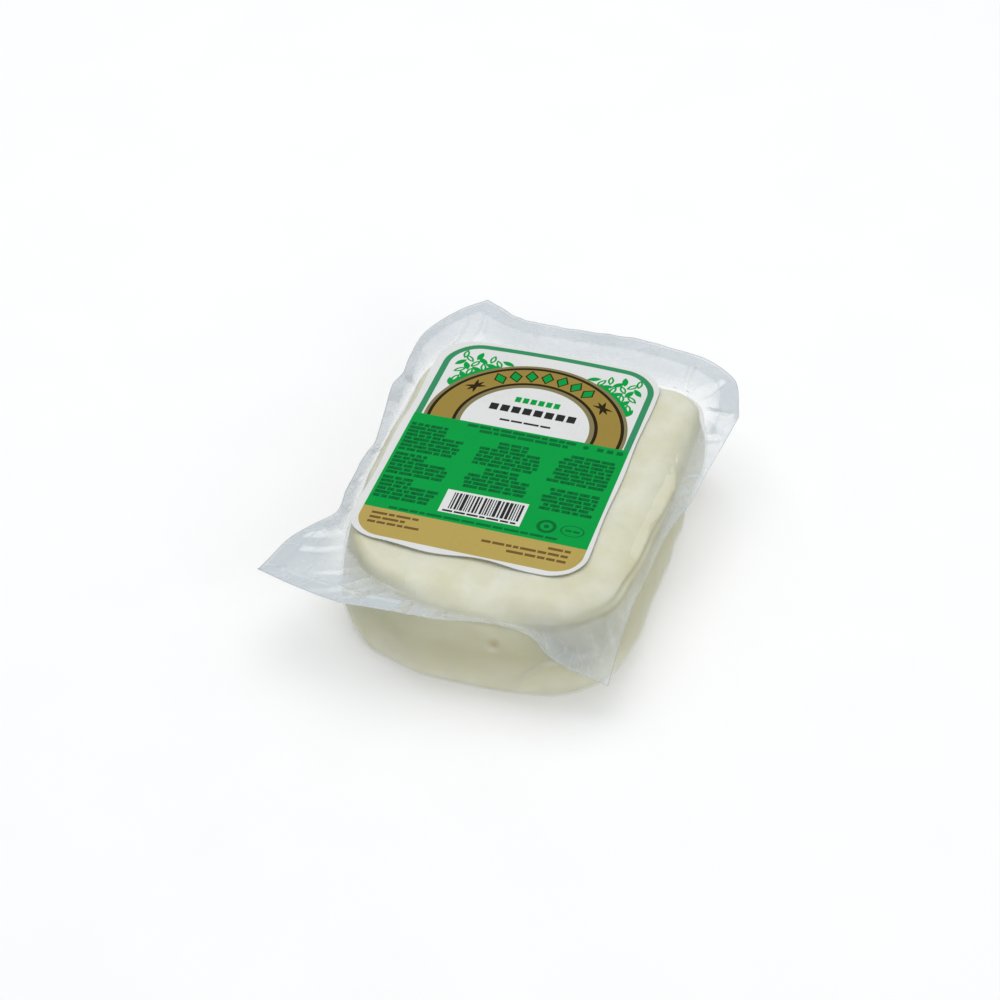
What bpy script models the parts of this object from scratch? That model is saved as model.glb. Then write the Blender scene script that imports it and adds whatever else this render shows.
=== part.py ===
"""Vacuum packed halloumi: a folded cheese block sealed between two film webs, with a paper label on top.

The pack is one closed solid in the outer form of the bag, its film flange included. Sizes in the named
values are millimetres; the meshes are made in metres, with +Z up and the base on Z = 0.
"""
import math

import bpy
from mathutils import Vector
from mathutils.bvhtree import BVHTree

MM = 0.001

# Position round the pack: 0 at the front left corner, 1 front right, 2 back right, 3 back left
FRONT_STEPS = 32
SIDE_STEPS = 40
STEPS = (FRONT_STEPS, SIDE_STEPS, FRONT_STEPS, SIDE_STEPS)
CORNER_SHARE = 0.13

# Cheese block: corner positions with their plan radii, and how far each side bows out
BLOCK_HEIGHT = 28.3
BLOCK_CORNERS = ((-37.3, -51.2, 17.0), (38.6, -52.6, 17.0), (39.9, 49.0, 9.0), (-38.7, 50.0, 15.0))
BLOCK_BOW = (4.4, 1.5, 0.6, 1.2)
LEAST_CORNER = 2.0

# Rounding of the bottom edge: how far in and how far up, and where its rings lie, in degrees of its turn
BASE_IN, BASE_UP = 5.5, 10.0
BASE_TURNS = (90, 66, 44, 22, 0)

# Front, right, back and left: how far the wall leans in by the flange's root, how far below the top
# that root lies, how far in the top levels off, and how straight the film runs from there to the flange
LEAN_IN = (3.4, 1.4, 2.0, 0.9)
ROOT_DROP = (3.2, 4.3, 0.9, 2.2)
TOP_IN = (9.5, 9.0, 4.0, 4.2)
TENT = (0.75, 0.1, 0.3, 0.4)
CROWN = 0.3

# Where the rings lie, as shares of the wall's height, the flange's width and the rounding of the top,
# and shrinking towards the top's middle
WALL_RINGS = (0.35, 0.7)
FLANGE_RINGS = (0.0, 0.4, 0.75, 1.0)
ROUNDING_RINGS = (0.22, 0.45, 0.7, 1.0)
TOP_RINGS = (0.8, 0.55, 0.28)

# Hollows of the wall: position, reach round the pack, depth at the wall's foot and depth by its top
HOLLOWS = ((0.0, 0.3, 1.6, 2.2), (1.75, 0.3, 1.2, 0.0))

# Sealed film flange: its free edge as (position, x, y, height over the label's plane)
FILM_THICKNESS = 0.9
LABEL_PLANE = 29.0
FRONT_EDGE = (
    (0.00, -52.4, -50.9, -6.0),
    (0.05, -39.9, -55.4, -5.0),
    (0.13, -28.6, -58.3, -4.0),
    (0.34, -13.2, -58.3, -3.5),
    (0.52, 0.5, -56.9, -3.5),
    (0.66, 11.5, -55.0, -4.0),
    (0.76, 19.1, -55.0, -5.5),
    (0.84, 23.6, -54.8, -11.0),
    (0.92, 29.9, -53.1, -16.0),
    (1.00, 37.9, -52.5, -19.0),
)
RIGHT_EDGE = (
    (1.00, 37.9, -52.5, -19.0),
    (1.04, 38.6, -44.8, -11.5),
    (1.10, 38.9, -38.0, -8.0),
    (1.25, 39.4, -24.0, -8.5),
    (1.45, 40.6, -4.5, -8.5),
    (1.53, 42.7, 5.2, -8.0),
    (1.75, 45.6, 25.5, -6.0),
    (1.95, 48.1, 42.2, -4.0),
)
BACK_EDGE = (
    (1.95, 48.1, 42.2, -4.0),
    (2.00, 44.4, 55.5, -3.2),
    (2.04, 39.4, 60.2, -2.6),
    (2.09, 32.5, 63.4, -2.5),
    (2.35, 11.0, 66.8, -2.5),
    (2.66, -12.0, 65.8, -2.5),
    (2.86, -22.5, 67.9, -2.5),
    (3.00, -31.0, 72.0, -2.3),
)
LEFT_EDGE = (
    (3.00, -31.0, 72.0, -2.3),
    (3.03, -37.6, 65.8, -3.0),
    (3.07, -44.2, 55.6, -4.6),
    (3.11, -45.2, 46.0, -5.8),
    (3.17, -44.4, 37.2, -6.0),
    (3.23, -45.4, 31.0, -6.0),
    (3.43, -41.7, 7.6, -6.2),
    (3.50, -42.3, 1.5, -6.0),
    (3.66, -42.1, -14.5, -6.0),
    (3.76, -41.2, -23.0, -6.2),
    (3.84, -44.9, -30.0, -6.0),
    (3.90, -48.8, -37.0, -6.0),
    (3.95, -50.6, -43.5, -6.0),
    (4.00, -52.4, -50.9, -6.0),
)
FILM_EDGE = (FRONT_EDGE, RIGHT_EDGE, BACK_EDGE, LEFT_EDGE)

# Paper label on the top, in the block's frame: centre, half sizes and corner radius
LABEL_CENTRE = (-4.5, 5.7)
LABEL_HALF = (30.7, 43.9)
LABEL_RADIUS = 9.0
LABEL_THICKNESS = 0.4
LABEL_GAP = 0.3
LABEL_CORNER_STEPS = 9
LABEL_SIDE_STEPS = 9
LABEL_RINGS = (0.25, 0.5, 0.68, 0.8, 0.88, 0.94, 1.0)
LABEL_FEEL = 2.4

# Edges between faces that turn more than this stay sharp
SHARP = math.radians(50)


def clear_scene():
    for item in list(bpy.data.objects):
        bpy.data.objects.remove(item, do_unlink=True)


def hump(position, centre, reach):
    """1 at the centre, falling smoothly to 0 at the reach, round the closed run of four sides."""
    away = abs((position - centre + 2) % 4 - 2)
    return 0.5 + 0.5 * math.cos(math.pi * away / reach) if away < reach else 0.0


def by_side(values, position):
    """A value for each side, blended smoothly from the middle of one side to the middle of the next."""
    place = (position - 0.5) % 4
    side = int(place)
    blend = 0.5 - 0.5 * math.cos(math.pi * (place - side))
    return values[side] * (1 - blend) + values[(side + 1) % 4] * blend


def block_plan(position, inset):
    """A point of the block's outline, pulled in by the inset."""
    side = int(position) % 4
    along = position - int(position)
    facing = math.radians(90 * side - 90)

    def arc_point(corner, angle):
        x, y, radius = BLOCK_CORNERS[corner % 4]
        centre_in = max(radius, inset + LEAST_CORNER)
        small = max(radius - inset, LEAST_CORNER)
        centre = Vector((x - math.copysign(centre_in, x), y - math.copysign(centre_in, y)))
        return centre + small * Vector((math.cos(angle), math.sin(angle)))

    if along < CORNER_SHARE:
        point = arc_point(side, facing - math.pi / 4 * (1 - along / CORNER_SHARE))
    elif along > 1 - CORNER_SHARE:
        point = arc_point(side + 1, facing + math.pi / 4 * (1 - (1 - along) / CORNER_SHARE))
    else:
        share = (along - CORNER_SHARE) / (1 - 2 * CORNER_SHARE)
        point = arc_point(side, facing).lerp(arc_point(side + 1, facing), share)
    bow = BLOCK_BOW[side] * (1 - (2 * along - 1) ** 2)
    return point + bow * Vector((math.cos(facing), math.sin(facing)))


def smooth_through(keys, position):
    """The curve through the keys, with a slope at each key taken from its two neighbours."""
    last = len(keys) - 1
    i = next(k for k in range(last) if position <= keys[k + 1][0] or k == last - 1)
    (s0, *a), (s1, *b) = keys[i], keys[i + 1]
    a, b = Vector(a), Vector(b)
    span = s1 - s0
    before, after = keys[max(i - 1, 0)], keys[min(i + 2, last)]
    slope_a = (b - Vector(before[1:])) / (s1 - before[0]) * span
    slope_b = (Vector(after[1:]) - a) / (after[0] - s0) * span
    t = (position - s0) / span
    return (
        a * (2 * t**3 - 3 * t**2 + 1)
        + slope_a * (t**3 - 2 * t**2 + t)
        + b * (3 * t**2 - 2 * t**3)
        + slope_b * (t**3 - t**2)
    )


def free_edge(position):
    """The middle of the film's free edge at a position round the pack."""
    keys = next(run for run in FILM_EDGE if position < run[-1][0])
    x, y, drop = smooth_through(keys, position)
    return Vector((x, y, LABEL_PLANE + drop))


def raised(point, height):
    return Vector((point.x, point.y, height))


def wall_in(position, share):
    """How far the wall lies inside the block's outline, from its foot to its top."""
    inset = by_side(LEAN_IN, position) * share**2
    for centre, reach, foot, top in HOLLOWS:
        inset += hump(position, centre, reach) * (foot + (top - foot) * share)
    return inset


def column(position):
    """The pack's points at one position, from the edge of its flat base to the middle of its top."""
    root_height = BLOCK_HEIGHT - by_side(ROOT_DROP, position)
    points = []
    for degrees in BASE_TURNS:
        turn = math.radians(degrees)
        inset = BASE_IN + (wall_in(position, 0) - BASE_IN) * math.cos(turn)
        points.append(raised(block_plan(position, inset), BASE_UP * (1 - math.sin(turn))))

    root_in = wall_in(position, 1)
    root = raised(block_plan(position, root_in), root_height)
    edge = free_edge(position)
    out = edge - root
    flat = math.hypot(out.x, out.y)
    outward = Vector((out.x, out.y, 0)) / flat
    skin = (outward * -out.z + Vector((0, 0, flat))) / out.length * FILM_THICKNESS / 2
    for share in WALL_RINGS:
        height = BASE_UP + (root_height - FILM_THICKNESS - BASE_UP) * share
        points.append(raised(block_plan(position, wall_in(position, share)), height))
    points += [root.lerp(edge, share) - skin for share in FLANGE_RINGS]
    points += [root.lerp(edge, share) + skin for share in reversed(FLANGE_RINGS)]

    top_in, tent = by_side(TOP_IN, position), by_side(TENT, position)
    start = points[-1]
    for share in ROUNDING_RINGS:
        level = block_plan(position, root_in + (top_in - root_in) * share)
        rise = math.sin(math.pi / 2 * share) * (1 - tent) + share * tent
        points.append(raised(level, start.z + (BLOCK_HEIGHT - start.z) * rise))
    rim = points[-1]
    for share in TOP_RINGS:
        points.append(raised(rim * share, BLOCK_HEIGHT + CROWN * (1 - share**2)))
    return points


def lofted(name, columns, bottom, top, place):
    """A closed mesh from equal columns of points side by side, with a middle point under and over them."""
    count, rows = len(columns), len(columns[0])
    points = [point for points in columns for point in points] + [bottom, top]
    faces = []
    for i in range(count):
        here, there = i * rows, (i + 1) % count * rows
        for row in range(rows - 1):
            faces.append((here + row, there + row, there + row + 1, here + row + 1))
        faces.append((count * rows, there, here))
        faces.append((here + rows - 1, there + rows - 1, count * rows + 1))
    mesh = bpy.data.meshes.new(name)
    mesh.from_pydata([point * MM for point in points], [], faces)
    mesh.validate()
    mesh.shade_smooth()
    mesh.set_sharp_from_angle(angle=SHARP)
    item = bpy.data.objects.new(name, mesh)
    item.location = place * MM
    bpy.context.scene.collection.objects.link(item)
    return item


def plain_material(name, colour, roughness):
    material = bpy.data.materials.new(name)
    material.use_nodes = True
    shader = material.node_tree.nodes["Principled BSDF"]
    shader.inputs["Base Color"].default_value = (*colour, 1.0)
    shader.inputs["Roughness"].default_value = roughness
    shader.inputs["Metallic"].default_value = 0.0
    return material


def positions():
    return [side + step / STEPS[side] for side in range(4) for step in range(STEPS[side])]


def pack_place():
    """Where the block's frame lies, so that the world's origin is under the middle of the film's outline."""
    ends = [free_edge(position) for position in positions()]
    across = [point.x for point in ends]
    along = [point.y for point in ends]
    return Vector((-(min(across) + max(across)) / 2, -(min(along) + max(along)) / 2, 0))


def make_pack(place):
    columns = [column(position) for position in positions()]
    top = Vector((0, 0, BLOCK_HEIGHT + CROWN))
    return lofted("halloumi_pack", columns, Vector((0, 0, 0)), top, place)


def label_outline():
    """The label's rounded outline about its centre."""
    points = []
    for quarter in range(4):
        start = math.radians(90 * quarter - 180)
        sign_x = -1 if quarter in (0, 3) else 1
        sign_y = -1 if quarter in (0, 1) else 1
        centre = Vector((sign_x * (LABEL_HALF[0] - LABEL_RADIUS), sign_y * (LABEL_HALF[1] - LABEL_RADIUS)))
        for step in range(LABEL_CORNER_STEPS):
            angle = start + math.pi / 2 * step / (LABEL_CORNER_STEPS - 1)
            points.append(centre + LABEL_RADIUS * Vector((math.cos(angle), math.sin(angle))))
    full = []
    for i, point in enumerate(points):
        full.append(point)
        if i % LABEL_CORNER_STEPS == LABEL_CORNER_STEPS - 1:
            following = points[(i + 1) % len(points)]
            full += [point.lerp(following, k / LABEL_SIDE_STEPS) for k in range(1, LABEL_SIDE_STEPS)]
    return full


def highest_near(tree, x, y):
    """The pack's height under a point, as the highest of a few readings round it."""
    readings = []
    for step_x, step_y in ((0, 0), (1, 0), (-1, 0), (0, 1), (0, -1)):
        start = Vector((x + step_x * LABEL_FEEL, y + step_y * LABEL_FEEL, 2 * BLOCK_HEIGHT)) * MM
        hit = tree.ray_cast(start, Vector((0, 0, -1)))[0]
        readings.append(hit.z / MM)
    return max(readings)


def make_label(pack):
    tree = BVHTree.FromPolygons(
        [vertex.co for vertex in pack.data.vertices], [tuple(face.vertices) for face in pack.data.polygons]
    )

    def lifted(offset):
        x, y = Vector(LABEL_CENTRE) + offset
        return Vector((x, y, highest_near(tree, x, y) + LABEL_GAP))

    thickness = Vector((0, 0, LABEL_THICKNESS))
    columns = []
    for offset in label_outline():
        under = [lifted(offset * share) for share in LABEL_RINGS]
        columns.append(under + [point + thickness for point in reversed(under)])
    low = lifted(Vector((0, 0)))
    return lofted("label", columns, low, low + thickness, pack.location / MM)


def main():
    clear_scene()
    pack = make_pack(pack_place())
    pack.data.materials.append(plain_material("film_over_cheese", (0.66, 0.64, 0.50), 0.32))
    label = make_label(pack)
    label.data.materials.append(plain_material("label_paper", (0.03, 0.33, 0.08), 0.5))


main()
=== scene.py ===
"""Looks for a vacuum packed halloumi: a folded cheese block, the clear film bag drawn tight round it, and the
paper label on top.

Sizes in the named values are millimetres in the block's own frame: +Z up from the base, the label's long side
along Y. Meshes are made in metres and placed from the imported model's box.
"""
import math
import random

import bpy
from mathutils import Matrix, Vector, geometry, noise


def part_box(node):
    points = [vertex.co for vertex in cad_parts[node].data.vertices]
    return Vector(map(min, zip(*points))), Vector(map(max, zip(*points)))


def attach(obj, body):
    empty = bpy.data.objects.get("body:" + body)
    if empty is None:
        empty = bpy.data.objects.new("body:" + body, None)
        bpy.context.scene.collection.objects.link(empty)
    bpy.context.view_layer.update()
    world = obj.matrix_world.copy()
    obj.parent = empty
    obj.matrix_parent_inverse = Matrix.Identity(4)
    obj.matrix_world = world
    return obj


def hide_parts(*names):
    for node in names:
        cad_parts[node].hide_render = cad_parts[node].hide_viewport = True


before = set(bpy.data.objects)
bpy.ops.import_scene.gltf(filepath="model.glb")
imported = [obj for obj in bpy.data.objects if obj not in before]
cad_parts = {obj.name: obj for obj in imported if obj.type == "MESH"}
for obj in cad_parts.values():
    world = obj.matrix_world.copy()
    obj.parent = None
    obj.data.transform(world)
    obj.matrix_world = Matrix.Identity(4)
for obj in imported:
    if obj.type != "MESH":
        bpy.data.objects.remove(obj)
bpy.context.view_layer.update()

MM = 0.001
BODY = "root"
FINE = 1.0

# Position round the pack: 0 at the front left corner, 1 front right, 2 back right, 3 back left
CORNER_SHARE = 0.13

# Cheese block: corner positions with their plan radii, and how far each side bows out
BLOCK_HEIGHT = 28.3
BLOCK_CORNERS = ((-37.3, -51.2, 17.0), (38.6, -52.6, 17.0), (39.9, 49.0, 9.0), (-38.7, 50.0, 15.0))
BLOCK_BOW = (4.4, 1.5, 0.6, 1.2)
LEAST_CORNER = 2.0
BASE_IN, BASE_UP = 5.5, 10.0

# Front, right, back and left: how far the wall leans in by the flange's root, how far below the top
# that root lies, how far in the top levels off, and how straight the film runs from there to the flange
LEAN_IN = (3.4, 1.4, 2.0, 0.9)
ROOT_DROP = (3.2, 4.3, 0.9, 2.2)
TOP_IN = (9.5, 9.0, 4.0, 4.2)
TENT = (0.75, 0.1, 0.3, 0.4)
CROWN = 0.3

# Hollows of the wall: position, reach round the pack, depth at the wall's foot and depth by its top
HOLLOWS = ((0.0, 0.3, 1.6, 2.2), (1.75, 0.3, 1.2, 0.0))

# Sealed film flange: its free edge as (position, x, y, height over the label's plane)
LABEL_PLANE = 29.0
FRONT_EDGE = (
    (0.00, -52.4, -50.9, -6.0),
    (0.05, -39.9, -55.4, -5.0),
    (0.13, -28.6, -58.3, -4.0),
    (0.34, -13.2, -58.3, -3.5),
    (0.52, 0.5, -56.9, -3.5),
    (0.66, 11.5, -55.0, -4.0),
    (0.76, 19.1, -55.0, -5.5),
    (0.84, 23.6, -54.8, -11.0),
    (0.92, 29.9, -53.1, -16.0),
    (1.00, 37.9, -52.5, -19.0),
)
RIGHT_EDGE = (
    FRONT_EDGE[-1],
    (1.04, 38.6, -44.8, -11.5),
    (1.10, 38.9, -38.0, -8.0),
    (1.25, 39.4, -24.0, -8.5),
    (1.45, 40.6, -4.5, -8.5),
    (1.53, 42.7, 5.2, -8.0),
    (1.75, 45.6, 25.5, -6.0),
    (1.95, 48.1, 42.2, -4.0),
)
BACK_EDGE = (
    RIGHT_EDGE[-1],
    (2.00, 44.4, 55.5, -3.2),
    (2.04, 39.4, 60.2, -2.6),
    (2.09, 32.5, 63.4, -2.5),
    (2.35, 11.0, 66.8, -2.5),
    (2.66, -12.0, 65.8, -2.5),
    (2.86, -22.5, 67.9, -2.5),
    (3.00, -31.0, 72.0, -2.3),
)
LEFT_EDGE = (
    BACK_EDGE[-1],
    (3.03, -37.6, 65.8, -3.0),
    (3.07, -44.2, 55.6, -4.6),
    (3.11, -45.2, 46.0, -5.8),
    (3.17, -44.4, 37.2, -6.0),
    (3.23, -45.4, 31.0, -6.0),
    (3.43, -41.7, 7.6, -6.2),
    (3.50, -42.3, 1.5, -6.0),
    (3.66, -42.1, -14.5, -6.0),
    (3.76, -41.2, -23.0, -6.2),
    (3.84, -44.9, -30.0, -6.0),
    (3.90, -48.8, -37.0, -6.0),
    (3.95, -50.6, -43.5, -6.0),
    (4.00, *FRONT_EDGE[0][1:]),
)
FILM_EDGE = (FRONT_EDGE, RIGHT_EDGE, BACK_EDGE, LEFT_EDGE)

# Film mesh: columns on each side, and rows on each stretch of a column
FILM_COLUMNS = (190, 210, 180, 240)
FILM_ROWS = {"floor": 4, "base": 9, "wall": 22, "flange": 27, "shoulder": 14, "top": 9}
ROW_CROWDING = 0.85
WEB_APART, WEB_SEALED = 0.42, 0.13
SEAL_WIDTH, SEAL_BEAD, SEAL_BEAD_WIDTH = 5.5, 0.3, 0.8
SEAL_SHOWS_FROM = 1.5 * SEAL_WIDTH
EDGE_BEAD = 0.12

# How loose the film is on the wall, what the wall's top and the corners add, and a corner's reach
LOOSE_WALL, LOOSE_WALL_TOP, LOOSE_CORNER = 0.25, 0.15, 0.5
CORNER_REACH = 0.32

# How cloudy the film looks: on the wall and top, on the flange, what the sealed band and the free edge add,
# and stretches of the flange that are cloudier or clearer: (position, reach, change)
CLOUD_TOP, CLOUD_WALL, CLOUD_BASE = 0.2, 0.3, 0.1
CLOUD_CORNER = 0.3
CLOUD_FLANGE, CLOUD_SEAL, CLOUD_EDGE = 0.85, 0.3, 0.35
CLOUD_PLACES = ((3.8, 0.7, 0.35), (1.25, 0.4, -0.75), (0.6, 0.45, -0.4))

# Front right side, where the flange lies folded against the wall: position, reach, how far its roll stands
# out, and how deep the film pinches the cheese along the roll
ROLL_PLACE, ROLL_REACH, ROLL_HEIGHT, PINCH_DEPTH, PINCH_WIDTH = 1.28, 0.36, 0.9, 0.9, 1.5

# Cheese mesh, and how far it lies inside the film
CHEESE_COLUMNS = (95, 110, 95, 110)
CHEESE_ROWS = {"floor": 3, "base": 9, "wall": 20, "shoulder": 16, "top": 14}
CHEESE_GAP = 0.25
CORNER_SHRINK, CORNER_SHRINK_REACH, CORNER_SHRINK_FOOT = 1.0, 0.3, 0.3
LEAST_ROUNDING = 3.0
MESH_INSET = 0.1

# Front, right, back and left: how far below the flange's root the cheese's rounding starts, and how far
# behind the film's it levels off
CHEESE_DROP = (3.2, 1.0, 1.0, 1.0)
CHEESE_LEVEL = (3.0, 1.0, 1.0, 1.0)

# Unevenness that cheese and tight film share: (size of the dents, depth)
DENTS = ((17.0, 1.1), (8.0, 0.5), (3.2, 0.1))
FOLD_LINE = ((13.9, 7.2), (22.8, 14.6), (34.0, 15.4))
FOLD_DEPTH = 0.9

# Small brownish hollows of the cheese: (x, y, z, radius, depth)
PITS = ((9.6, -54.5, 17.3, 1.9, 0.7), (-9.0, -53.0, 9.0, 1.5, 0.35), (39.0, 6.0, 23.5, 1.8, 0.5))

# Loose film: size of its soft folds, half width of a fold as a share of that, and their height
CRINKLE_SIZE, CRINKLE_WIDTH, CRINKLE_HEIGHT = 9.0, 0.16, 0.4


def clamp01(value):
    return min(max(value, 0.0), 1.0)


def soft_step(low, high, value):
    share = clamp01((value - low) / (high - low))
    return share * share * (3 - 2 * share)


def hump(position, centre, reach):
    """1 at the centre, falling smoothly to 0 at the reach, round the closed run of four sides."""
    away = abs((position - centre + 2) % 4 - 2)
    return 0.5 + 0.5 * math.cos(math.pi * away / reach) if away < reach else 0.0


def by_side(values, position):
    """A value for each side, blended smoothly from the middle of one side to the middle of the next."""
    place = (position - 0.5) % 4
    side = int(place)
    blend = 0.5 - 0.5 * math.cos(math.pi * (place - side))
    return values[side] * (1 - blend) + values[(side + 1) % 4] * blend


def block_plan(position, inset):
    """A point of the block's outline, pulled in by the inset."""
    side = int(position) % 4
    along = position - int(position)
    facing = math.radians(90 * side - 90)

    def arc_point(corner, angle):
        x, y, radius = BLOCK_CORNERS[corner % 4]
        centre_in = max(radius, inset + LEAST_CORNER)
        small = max(radius - inset, LEAST_CORNER)
        centre = Vector((x - math.copysign(centre_in, x), y - math.copysign(centre_in, y)))
        return centre + small * Vector((math.cos(angle), math.sin(angle)))

    if along < CORNER_SHARE:
        point = arc_point(side, facing - math.pi / 4 * (1 - along / CORNER_SHARE))
    elif along > 1 - CORNER_SHARE:
        point = arc_point(side + 1, facing + math.pi / 4 * (1 - (1 - along) / CORNER_SHARE))
    else:
        share = (along - CORNER_SHARE) / (1 - 2 * CORNER_SHARE)
        point = arc_point(side, facing).lerp(arc_point(side + 1, facing), share)
    bow = BLOCK_BOW[side] * (1 - (2 * along - 1) ** 2)
    return point + bow * Vector((math.cos(facing), math.sin(facing)))


def smooth_through(keys, position):
    """The curve through the keys, with a slope at each key taken from its two neighbours."""
    last = len(keys) - 1
    i = next(k for k in range(last) if position <= keys[k + 1][0] or k == last - 1)
    (s0, *a), (s1, *b) = keys[i], keys[i + 1]
    a, b = Vector(a), Vector(b)
    span = s1 - s0
    before, after = keys[max(i - 1, 0)], keys[min(i + 2, last)]
    slope_a = (b - Vector(before[1:])) / (s1 - before[0]) * span
    slope_b = (Vector(after[1:]) - a) / (after[0] - s0) * span
    t = (position - s0) / span
    return (
        a * (2 * t**3 - 3 * t**2 + 1)
        + slope_a * (t**3 - 2 * t**2 + t)
        + b * (3 * t**2 - 2 * t**3)
        + slope_b * (t**3 - t**2)
    )


def free_edge(position):
    """The middle of the film's free edge at a position round the pack."""
    keys = next(run for run in FILM_EDGE if position < run[-1][0])
    x, y, drop = smooth_through(keys, position)
    return Vector((x, y, LABEL_PLANE + drop))


def raised(point, height):
    return Vector((point.x, point.y, height))


def positions(steps):
    """Evenly spaced positions round the pack, with a number of steps for each side."""
    counts = [max(8, round(count * FINE)) for count in steps]
    return [side + step / counts[side] for side in range(4) for step in range(counts[side])]


def rows(table, stretch):
    return max(2, round(table[stretch] * FINE))


def shares_of(table, stretch, start=1, past=1):
    """The rows of one stretch as shares of it."""
    count = rows(table, stretch)
    return [step / count for step in range(start, count + past)]


def pack_place():
    """Where the block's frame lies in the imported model's frame, in millimetres."""
    low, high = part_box("halloumi_pack")
    ends = [free_edge(position) for position in positions(FILM_COLUMNS)]
    across = [point.x for point in ends]
    along = [point.y for point in ends]
    x = (low.x + high.x) / 2 / MM - (min(across) + max(across)) / 2
    y = (low.y + high.y) / 2 / MM - (min(along) + max(along)) / 2
    return Vector((x, y, 0))


def wall_in(position, share):
    """How far the wall lies inside the block's outline, from its foot to its top."""
    inset = by_side(LEAN_IN, position) * share**2
    for centre, reach, foot, top in HOLLOWS:
        inset += hump(position, centre, reach) * (foot + (top - foot) * share)
    return inset


def base_in(position, turn):
    """How far the rounding of the bottom edge lies inside the block's outline at an angle of its turn."""
    return BASE_IN + (wall_in(position, 0) - BASE_IN) * math.cos(turn)


def pit_share(point):
    """1 in the middle of a small hollow of the cheese, 0 away from it."""
    shares = [1 - (point - Vector(pit[:3])).length / pit[3] for pit in PITS]
    return max(0.0, *shares)


def dents(point):
    """How far the cheese's soft unevenness lifts or sinks a point of the surface."""
    total = 0.0
    for number, (size, depth) in enumerate(DENTS):
        total += depth * noise.noise(point / size + Vector((7.3 * number, 2.1, 5.7)))
    if point.y < -40 and FOLD_LINE[0][0] < point.x < FOLD_LINE[-1][0] + 6:
        total += fold_relief(point)
    for x, y, z, radius, depth in PITS:
        total -= depth * soft_step(0.0, 1.0, 1 - (point - Vector((x, y, z))).length / radius)
    return total


def fold_relief(point):
    """The lip of cheese folded over low on the front wall."""
    line_height = FOLD_LINE[-1][1]
    for (x0, z0), (x1, z1) in zip(FOLD_LINE, FOLD_LINE[1:]):
        if x0 <= point.x <= x1:
            line_height = z0 + (z1 - z0) * (point.x - x0) / (x1 - x0)
    below = line_height - point.z
    ends = soft_step(FOLD_LINE[0][0], FOLD_LINE[0][0] + 4, point.x)
    ends *= 1 - soft_step(FOLD_LINE[-1][0] - 2, FOLD_LINE[-1][0] + 5, point.x)
    return FOLD_DEPTH * ends * soft_step(-0.3, 0.9, below) * (1 - soft_step(2.5, 9.0, below))


def crinkle(point):
    """Soft curving folds of loose film, 0 to 1."""
    spot = Vector((point.x, point.y, point.z * 0.6)) / CRINKLE_SIZE
    bend = Vector((noise.noise(spot * 1.7), noise.noise(spot * 1.7 + Vector((9.1, 0, 0))), 0)) * 0.5
    return (1 - clamp01(abs(noise.noise(spot + bend)) / CRINKLE_WIDTH)) ** 2


# Creases of the flange: (position at the root, position at the free edge, half width in mm, height in mm,
# share of the flange where it begins, share where it ends)
CREASES = (
    (-0.14, -0.12, 2.6, 0.7, 0.1, 1.0),
    (-0.05, -0.06, 2.6, -0.3, 0.0, 0.8),
    (0.03, 0.01, 2.6, 0.35, 0.0, 0.55),
    (0.10, 0.07, 2.2, 0.35, 0.0, 0.8),
    (0.17, 0.13, 1.7, -0.5, 0.0, 0.9),
    (0.30, 0.34, 2.0, 0.45, 0.0, 0.8),
    (0.47, 0.44, 1.8, -0.4, 0.0, 0.9),
    (0.60, 0.66, 2.0, 0.45, 0.0, 0.9),
    (0.80, 0.82, 1.6, 0.5, 0.0, 0.8),
    (0.89, 0.88, 1.8, -0.5, 0.1, 0.7),
    (0.95, 0.93, 1.4, 0.5, 0.0, 0.75),
    (1.04, 1.01, 1.1, -0.9, 0.0, 0.8),
    (1.09, 1.05, 1.2, 0.6, 0.0, 0.7),
    (1.62, 1.66, 1.3, 0.6, 0.1, 0.8),
    (1.78, 1.83, 1.4, -0.5, 0.1, 0.9),
    (1.93, 1.96, 1.3, 0.9, 0.0, 0.9),
    (2.01, 2.01, 1.4, -0.7, 0.0, 0.8),
    (2.12, 2.10, 1.5, 0.6, 0.0, 0.9),
    (2.44, 2.47, 1.7, 0.4, 0.1, 0.9),
    (2.72, 2.70, 1.7, -0.4, 0.1, 0.9),
    (2.93, 2.96, 1.4, 0.8, 0.0, 0.85),
    (3.02, 3.01, 1.4, -0.8, 0.0, 0.8),
    (3.10, 3.08, 1.3, 0.8, 0.0, 0.9),
    (3.18, 3.17, 1.6, -1.0, 0.0, 1.0),
    (3.33, 3.33, 2.0, 0.6, 0.1, 1.0),
    (3.49, 3.50, 1.5, -0.9, 0.0, 1.0),
    (3.62, 3.62, 1.8, 0.6, 0.1, 1.0),
    (3.76, 3.77, 1.8, -0.5, 0.0, 1.0),
    (3.86, 3.90, 2.0, 0.35, 0.0, 0.8),
)
CREASE_WANDER = 0.012
STEP_ROUND = 0.01
WAVE_HEIGHT = 0.7

# Soft waves of the flange: (waves on one side, waves across, place in the noise, share of the height)
WAVES = ((7.0, 0.7, 3.1, 1.0), (22.0, 1.5, 8.4, 0.35))


def edge_stretch(position):
    """About how many millimetres of free edge one unit of position is, there."""
    ahead = free_edge((position + STEP_ROUND) % 4)
    return (ahead - free_edge(position % 4)).length / STEP_ROUND


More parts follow.
